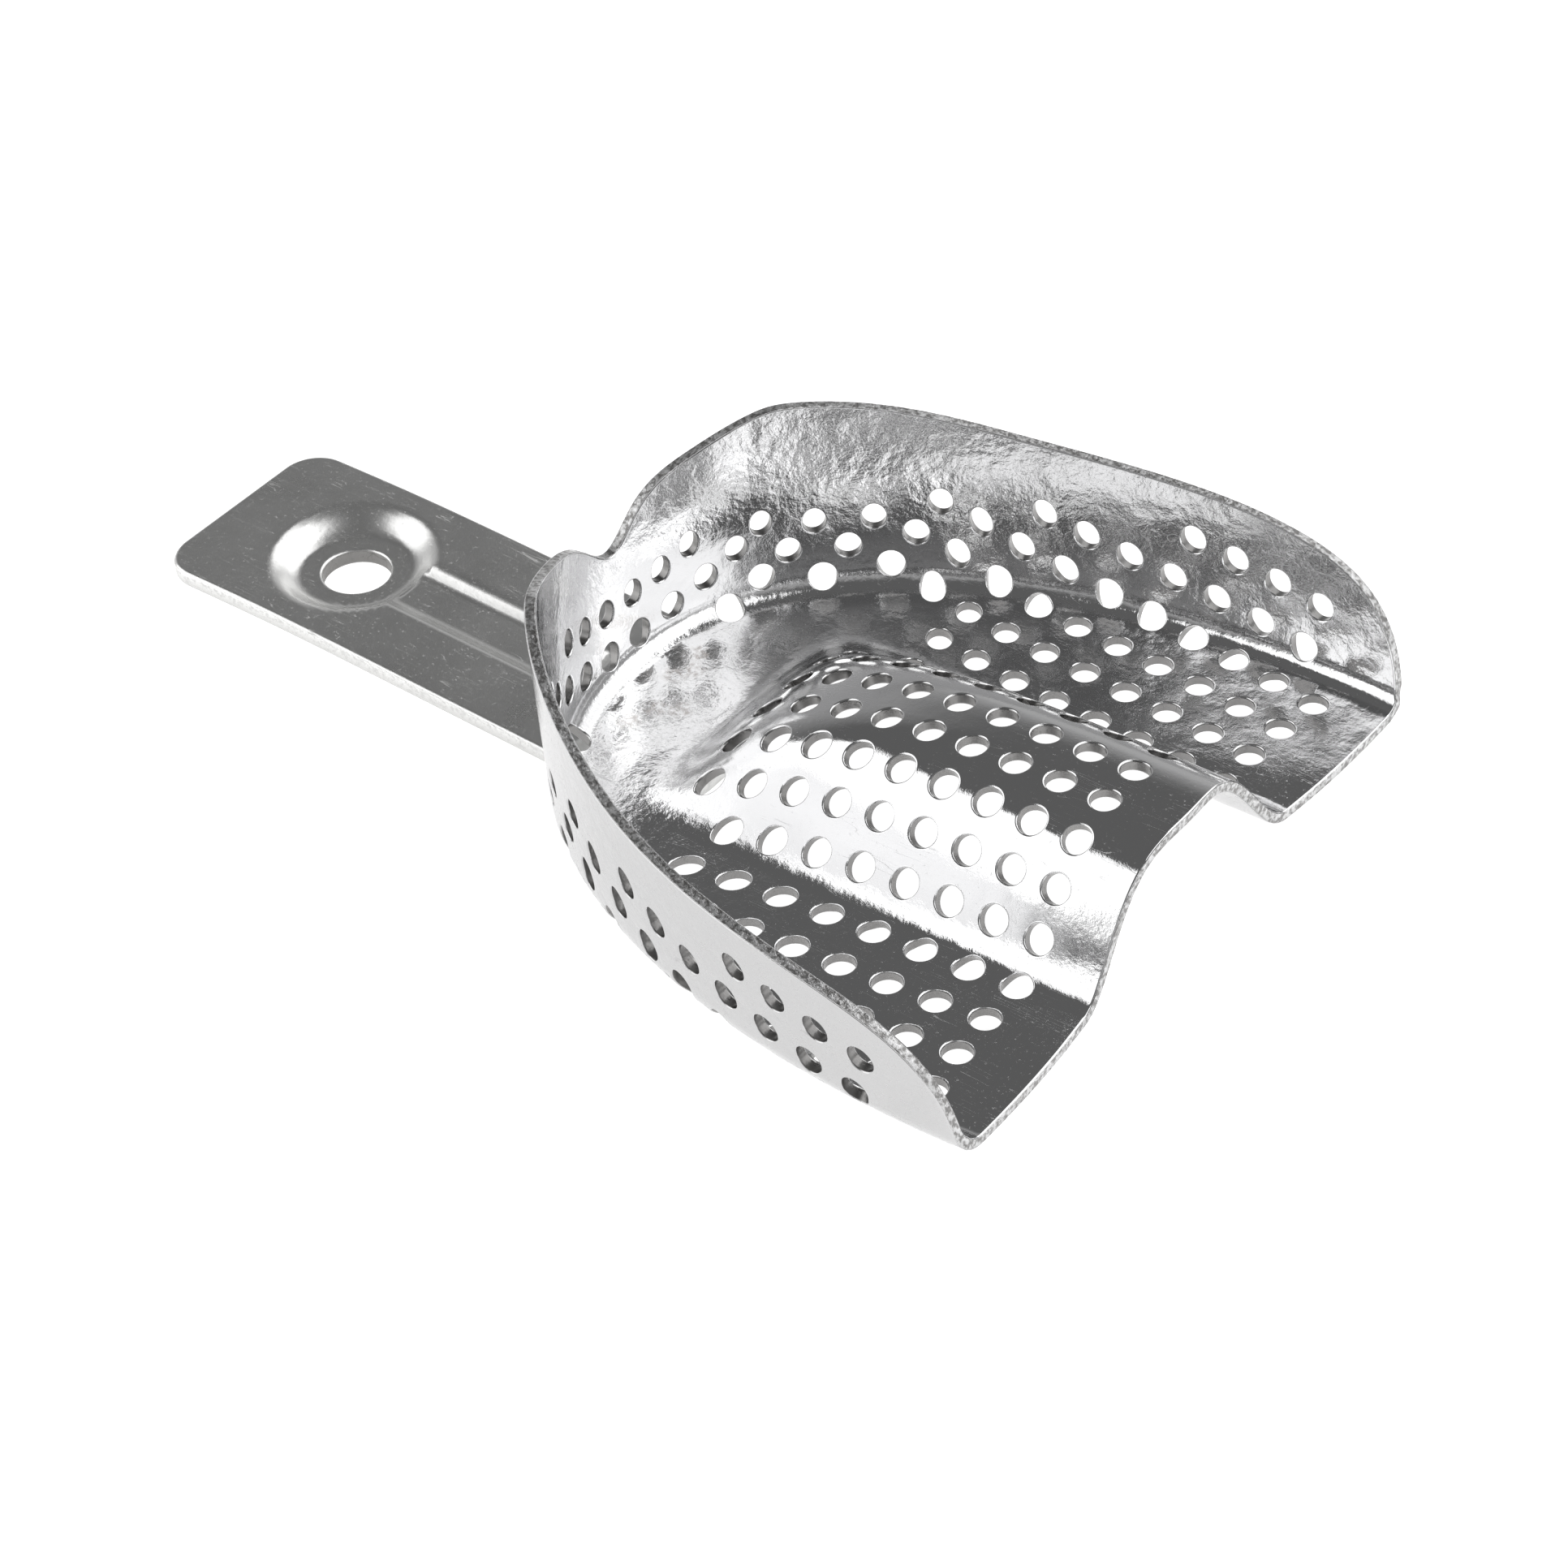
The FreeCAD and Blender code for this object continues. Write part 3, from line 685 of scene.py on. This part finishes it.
def scratches():
    """Node group: fine lines in three directions, each a narrow band of a stretched noise
    kept only in patches. Gives a mask."""
    tree = bpy.data.node_groups.new("fine scratches", "ShaderNodeTree")
    tree.interface.new_socket("Mask", in_out="OUTPUT", socket_type="NodeSocketFloat")
    end = node(tree, "NodeGroupOutput")
    total = None
    for number, turn in enumerate((0.35, 1.5, 2.5)):
        place = node(tree, "ShaderNodeTexCoord")
        mapping = node(tree, "ShaderNodeMapping")
        mapping.inputs["Scale"].default_value = (1000 * 0.05, 1000 * 1.3, 1000 * 0.4)
        mapping.inputs["Rotation"].default_value = (0.2 * number, 0.1, turn)
        texture = node(tree, "ShaderNodeTexNoise")
        texture.inputs["Scale"].default_value = 1.0
        texture.inputs["Detail"].default_value = 1.0
        tree.links.new(place.outputs["Object"], mapping.inputs["Vector"])
        tree.links.new(mapping.outputs["Vector"], texture.inputs["Vector"])
        away = combine(tree, "ABSOLUTE", combine(tree, "SUBTRACT", texture.outputs["Fac"], 0.5), 0.0)
        line = remap(tree, away, 0.0, 0.006, 1.0, 0.0)
        patch = remap(tree, noise(tree, (0.2, 0.2, 0.2), 1.0 + number * 0.3), 0.55, 0.62)
        line = combine(tree, "MULTIPLY", line, patch)
        total = line if total is None else combine(tree, "MAXIMUM", total, line)
    tree.links.new(total, end.inputs["Mask"])
    return tree


def mask_value(tree, name):
    """A mask that the mesh carries."""
    return node(tree, "ShaderNodeAttribute", attribute_name=name).outputs["Fac"]


def polish():
    """Node group: the surface of stamped and polished sheet. Gives a height made of long
    shallow waves, of lumps where drawing has worked the sheet most and of fine grain, and
    a roughness."""
    tree = bpy.data.node_groups.new("polished sheet", "ShaderNodeTree")
    for name in ("Height", "Grain", "Roughness"):
        tree.interface.new_socket(name, in_out="OUTPUT", socket_type="NodeSocketFloat")
    end = node(tree, "NodeGroupOutput")
    drawn = combine(tree, "MAXIMUM", mask_value(tree, "drawn"),
                    combine(tree, "MULTIPLY", mask_value(tree, "upright"), 0.6))
    waves = noise(tree, (0.16, 0.16, 0.16), 1.0, 2.0)
    lumps = noise(tree, (0.5, 0.5, 0.5), 1.0, 4.0, 0.55)
    worked = combine(tree, "ADD", combine(tree, "MULTIPLY", drawn, 2.2), 0.2)
    lumps = combine(tree, "MULTIPLY", lumps, worked)
    tree.links.new(combine(tree, "ADD", waves, lumps), end.inputs["Height"])
    grain = noise(tree, (2.4, 2.4, 2.4), 1.0, 4.0, 0.7)
    where = remap(tree, noise(tree, (0.09, 0.09, 0.09), 1.0, 2.0), 0.4, 0.62, 0.35, 1.0)
    where = combine(tree, "ADD", where, drawn)
    tree.links.new(combine(tree, "MULTIPLY", grain, where), end.inputs["Grain"])
    smudge = noise(tree, (0.12, 0.12, 0.12), 1.0, 4.0, 0.6)
    speck = remap(tree, noise(tree, (3.4, 3.4, 3.4), 1.0, 3.0, 0.6), 0.6, 0.72, 0.0, 0.25)
    rough = combine(tree, "ADD", remap(tree, smudge, 0.35, 0.7, 0.0, 0.05), speck)
    tree.links.new(rough, end.inputs["Roughness"])
    return tree


def weld_marks():
    """Node group: what spot welding leaves on the floor over each nugget. Gives a mask of
    soft rings broken by noise, nearest of the six taken by the least distance."""
    tree = bpy.data.node_groups.new("weld marks", "ShaderNodeTree")
    tree.interface.new_socket("Mask", in_out="OUTPUT", socket_type="NodeSocketFloat")
    end = node(tree, "NodeGroupOutput")
    place = node(tree, "ShaderNodeTexCoord").outputs["Object"]
    least = None
    for x, y in WELD_PLACES:
        away = node(tree, "ShaderNodeVectorMath", operation="DISTANCE")
        away.inputs[1].default_value = stand(np.array([[x, y, 0.0]]))[0]
        tree.links.new(place, away.inputs[0])
        away = away.outputs["Value"]
        least = away if least is None else combine(tree, "MINIMUM", least, away)
    ring = remap(tree, combine(tree, "ABSOLUTE", combine(tree, "SUBTRACT", least, 0.55 * MM), 0.0),
                 0.15 * MM, 0.75 * MM, 1.0, 0.0)
    broken = remap(tree, noise(tree, (1.6, 1.6, 1.6), 1.0, 3.0, 0.6), 0.4, 0.66)
    tree.links.new(combine(tree, "MULTIPLY", ring, broken), end.inputs["Mask"])
    return tree


def metal(name, color, roughness, wave, grain, sheared):
    """Polished metal with scratches, rougher on its underside, where its colour is also darkened as painted
    shade. Its cut edges are
    rougher: the sheared rim, where the edge mask is positive, darker with torn grain,
    and the holes, where it is negative, a smoother cut whose walls are darkened as painted shade."""
    made = bpy.data.materials.new(name)
    made.use_nodes = True
    tree = made.node_tree
    shader = tree.nodes["Principled BSDF"]
    shader.inputs["Metallic"].default_value = 1.0
    surface = node(tree, "ShaderNodeGroup", node_tree=bpy.data.node_groups["polished sheet"])
    lines = node(tree, "ShaderNodeGroup", node_tree=bpy.data.node_groups["fine scratches"])
    edge = mask_value(tree, "edge")
    cut = remap(tree, edge, 0.75, 0.97)
    bore = remap(tree, edge, -0.8, -0.98)
    under = mask_value(tree, "under")
    torn = noise(tree, (2.2, 2.2, 2.2), 1.0, 4.0, 0.65)
    torn_grain_and_painted_shade = combine(tree, "MULTIPLY", cut, remap(tree, torn, 0.42, 0.6, 4.0 * sheared, 0.4 * sheared))
    # painted shade: the hole walls are mixed towards the dark tint
    torn_grain_and_painted_shade = combine(tree, "MAXIMUM", torn_grain_and_painted_shade, combine(tree, "MULTIPLY", bore, 0.85))
    # painted shade: the lower skin, which is the bowl's outer face and the handle's underside, is mixed
    # towards the dark tint
    torn_grain_and_painted_shade = combine(tree, "MAXIMUM", torn_grain_and_painted_shade, combine(tree, "MULTIPLY", under, 0.38))
    tint = node(tree, "ShaderNodeMix", data_type="RGBA")
    tint.inputs["A"].default_value = (*color, 1.0)
    # dark tint: the torn rim grain's own tone, and painted shade in the holes and on the lower skin
    tint.inputs["B"].default_value = (0.16, 0.155, 0.15, 1.0)
    tree.links.new(torn_grain_and_painted_shade, tint.inputs["Factor"])
    marks = node(tree, "ShaderNodeGroup", node_tree=bpy.data.node_groups["weld marks"]).outputs["Mask"]
    burnt = node(tree, "ShaderNodeMix", data_type="RGBA")
    burnt.inputs["B"].default_value = (0.42, 0.38, 0.35, 1.0)
    tree.links.new(tint.outputs["Result"], burnt.inputs["A"])
    tree.links.new(combine(tree, "MULTIPLY", marks, 0.6), burnt.inputs["Factor"])
    tree.links.new(burnt.outputs["Result"], shader.inputs["Base Color"])
    rough = combine(tree, "ADD", surface.outputs["Roughness"], roughness)
    rough = combine(tree, "ADD", rough, combine(tree, "MULTIPLY", lines.outputs["Mask"], 0.35))
    rough = combine(tree, "ADD", rough, combine(tree, "MULTIPLY", cut, sheared))
    rough = combine(tree, "ADD", rough, combine(tree, "MULTIPLY", bore, 0.18))
    rough = combine(tree, "ADD", rough, combine(tree, "MULTIPLY", marks, 0.2))
    rough = combine(tree, "ADD", rough, combine(tree, "MULTIPLY", under, 0.12))
    tree.links.new(rough, shader.inputs["Roughness"])
    wavy = node(tree, "ShaderNodeBump")
    wavy.inputs["Strength"].default_value = 1.0
    wavy.inputs["Distance"].default_value = wave * MM
    tree.links.new(surface.outputs["Height"], wavy.inputs["Height"])
    fine = node(tree, "ShaderNodeBump")
    fine.inputs["Strength"].default_value = 1.0
    fine.inputs["Distance"].default_value = grain * MM
    tree.links.new(surface.outputs["Grain"], fine.inputs["Height"])
    tree.links.new(wavy.outputs["Normal"], fine.inputs["Normal"])
    rim = node(tree, "ShaderNodeBump")
    rim.inputs["Strength"].default_value = 1.0
    rim.inputs["Distance"].default_value = 0.12 * MM
    tree.links.new(combine(tree, "MULTIPLY", torn, cut), rim.inputs["Height"])
    tree.links.new(fine.outputs["Normal"], rim.inputs["Normal"])
    tree.links.new(rim.outputs["Normal"], shader.inputs["Normal"])
    return made


# ================================================================ object

def assemble():
    """Bowl, handle and welds on the part's one body, with their slots and finishes."""
    scratches()
    polish()
    weld_marks()
    sheet_metal = metal("polished_sheet", (0.77, 0.77, 0.775), 0.03, 0.05, 0.012, 0.22)
    plate_metal = metal("polished_plate", (0.86, 0.86, 0.85), 0.27, 0.01, 0.003, 0.08)
    weld_metal = metal("weld_metal", (0.55, 0.53, 0.51), 0.35, 0.01, 0.01, 0.0)
    pieces = [(bowl(), "bowl", "polished_sheet", sheet_metal),
              (handle(), "handle", "polished_plate", plate_metal)]
    for number, centre in enumerate(WELD_PLACES, 1):
        pieces.append((weld(number, centre), "spot_welds", "weld_metal", weld_metal))
    for piece, cad_node, slot_name, finish in pieces:
        piece.data.materials.append(finish)
        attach(piece, "root")
        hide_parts(cad_node)


# ================================================================ stage, camera, light

VIEW_AZIMUTH = 38.57
VIEW_ELEVATION = 42.03
VIEW_ROLL = -1.89
VIEW_DISTANCE = 320.1
VIEW_OFFSET = (26.42, -7.59)
LENS = 92.64
TARGET = Vector((0.035, 0.0, 0.012))


def camera():
    """Camera at the given angle round the handle's own direction, then laid down with the
    tray. Its axes are right, up and back."""
    azimuth, elevation, roll = (math.radians(a) for a in (VIEW_AZIMUTH, VIEW_ELEVATION, VIEW_ROLL))
    back = Vector((math.sin(azimuth) * math.cos(elevation), -math.cos(azimuth) * math.cos(elevation),
                   math.sin(elevation)))
    right = Vector((math.cos(azimuth), math.sin(azimuth), 0))
    up = back.cross(right)
    right, up = (right * math.cos(roll) + up * math.sin(roll), up * math.cos(roll) - right * math.sin(roll))
    axes = Matrix((right, up, back)).transposed()
    place = axes @ Vector((-VIEW_OFFSET[0], -VIEW_OFFSET[1], VIEW_DISTANCE))
    lay = Matrix.Rotation(GRIP_PITCH + REST_PITCH, 3, "Y")
    lens = bpy.data.cameras.new("camera")
    lens.lens = LENS
    lens.sensor_width = 36
    lens.clip_start = 0.01
    made = bpy.data.objects.new("camera", lens)
    matrix = (lay @ axes).to_4x4()
    matrix.translation = (lay @ place + Vector(STAND_SHIFT)) * MM
    made.matrix_world = matrix
    bpy.context.collection.objects.link(made)
    bpy.context.scene.camera = made


def floor():
    """Pale table, wide and plain."""
    mesh = bpy.data.meshes.new("table")
    mesh.from_pydata([(-3, -3, 0), (3, -3, 0), (3, 3, 0), (-3, 3, 0)], [], [(0, 1, 2, 3)])
    table = bpy.data.objects.new("table", mesh)
    bpy.context.collection.objects.link(table)
    finish = bpy.data.materials.new("table")
    finish.use_nodes = True
    shader = finish.node_tree.nodes["Principled BSDF"]
    shader.inputs["Base Color"].default_value = (0.9, 0.9, 0.9, 1)
    shader.inputs["Roughness"].default_value = 0.9
    shader.inputs["Specular IOR Level"].default_value = 0.0
    shader.inputs["Emission Color"].default_value = (1, 1, 1, 1)
    shader.inputs["Emission Strength"].default_value = 0.74
    mesh.materials.append(finish)


def lamp(name, way, distance, size, radiance):
    """Rectangular soft box this far from the tray in a given direction, facing it. Its power
    follows from its radiance: power = radiance * pi * area."""
    way = Vector(way).normalized()
    light = bpy.data.lights.new(name, "AREA")
    light.shape = "RECTANGLE"
    light.size, light.size_y = size
    light.energy = radiance * math.pi * size[0] * size[1]
    made = bpy.data.objects.new(name, light)
    made.location = TARGET + way * distance
    made.rotation_euler = (-way).to_track_quat("-Z", "Y").to_euler()
    bpy.context.collection.objects.link(made)
    return made


def room():
    """Dim room, a little lighter towards the horizon."""
    world = bpy.data.worlds.new("room")
    bpy.context.scene.world = world
    world.use_nodes = True
    tree = world.node_tree
    place = node(tree, "ShaderNodeTexCoord")
    parts = node(tree, "ShaderNodeSeparateXYZ")
    tree.links.new(place.outputs["Generated"], parts.inputs["Vector"])
    tree.links.new(remap(tree, parts.outputs["Z"], 0.30, 0.62, 0.45, 0.125),
                   tree.nodes["Background"].inputs["Strength"])
    tree.nodes["Background"].inputs["Color"].default_value = (1, 1, 1, 1)


def lights():
    """Three large soft boxes round the tray, the dim room between them."""
    lamp("near left box", (-0.73, -0.52, 0.44), 0.8, (0.85, 0.88), 1.35)
    lamp("right box", (0.72, 0.29, 0.63), 0.8, (0.8, 0.7), 1.3)
    lamp("far right box", (0.16, 0.76, 0.63), 0.8, (0.7, 0.7), 1.3)
    room()


bpy.context.scene.view_settings.view_transform = "Standard"
assemble()
camera()
floor()
lights()
